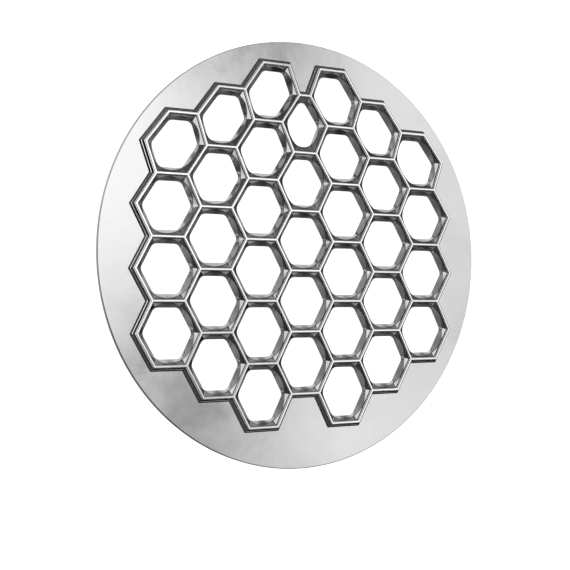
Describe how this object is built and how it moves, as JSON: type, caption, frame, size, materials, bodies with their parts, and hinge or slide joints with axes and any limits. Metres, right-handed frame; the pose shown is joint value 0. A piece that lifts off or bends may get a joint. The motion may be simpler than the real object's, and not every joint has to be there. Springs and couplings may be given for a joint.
{
  "type": "honeycomb dumpling mould",
  "caption": "Round cast dumpling mould: a flat disc with a raised honeycomb of open hexagonal cells whose ridges cut and seal the dough.",
  "frame": {"origin": "middle of the disc's flat back face, on the surface that it lies on", "axes": "+Z out of the front face, where the ridges stand; +Y to the top of the comb; +X to its right, seen from the front"},
  "size_m": [0.245, 0.245, 0.0062],
  "materials": {
    "cast_aluminium": "polished"
  },
  "bodies": {
    "root": {"flange": "cast_aluminium", "comb_border": "cast_aluminium", "cell_1_1": "cast_aluminium", "cell_1_2": "cast_aluminium", "cell_1_3": "cast_aluminium", "cell_1_4": "cast_aluminium", "cell_2_1": "cast_aluminium", "cell_2_2": "cast_aluminium", "cell_2_3": "cast_aluminium", "cell_2_4": "cast_aluminium", "cell_2_5": "cast_aluminium", "cell_3_1": "cast_aluminium", "cell_3_2": "cast_aluminium", "cell_3_3": "cast_aluminium", "cell_3_4": "cast_aluminium", "cell_3_5": "cast_aluminium", "cell_3_6": "cast_aluminium", "cell_4_1": "cast_aluminium", "cell_4_2": "cast_aluminium", "cell_4_3": "cast_aluminium", "cell_4_4": "cast_aluminium", "cell_4_5": "cast_aluminium", "cell_5_1": "cast_aluminium", "cell_5_2": "cast_aluminium", "cell_5_3": "cast_aluminium", "cell_5_4": "cast_aluminium", "cell_5_5": "cast_aluminium", "cell_5_6": "cast_aluminium", "cell_6_1": "cast_aluminium", "cell_6_2": "cast_aluminium", "cell_6_3": "cast_aluminium", "cell_6_4": "cast_aluminium", "cell_6_5": "cast_aluminium", "cell_7_1": "cast_aluminium", "cell_7_2": "cast_aluminium", "cell_7_3": "cast_aluminium", "cell_7_4": "cast_aluminium"}
  },
  "joints": []
}
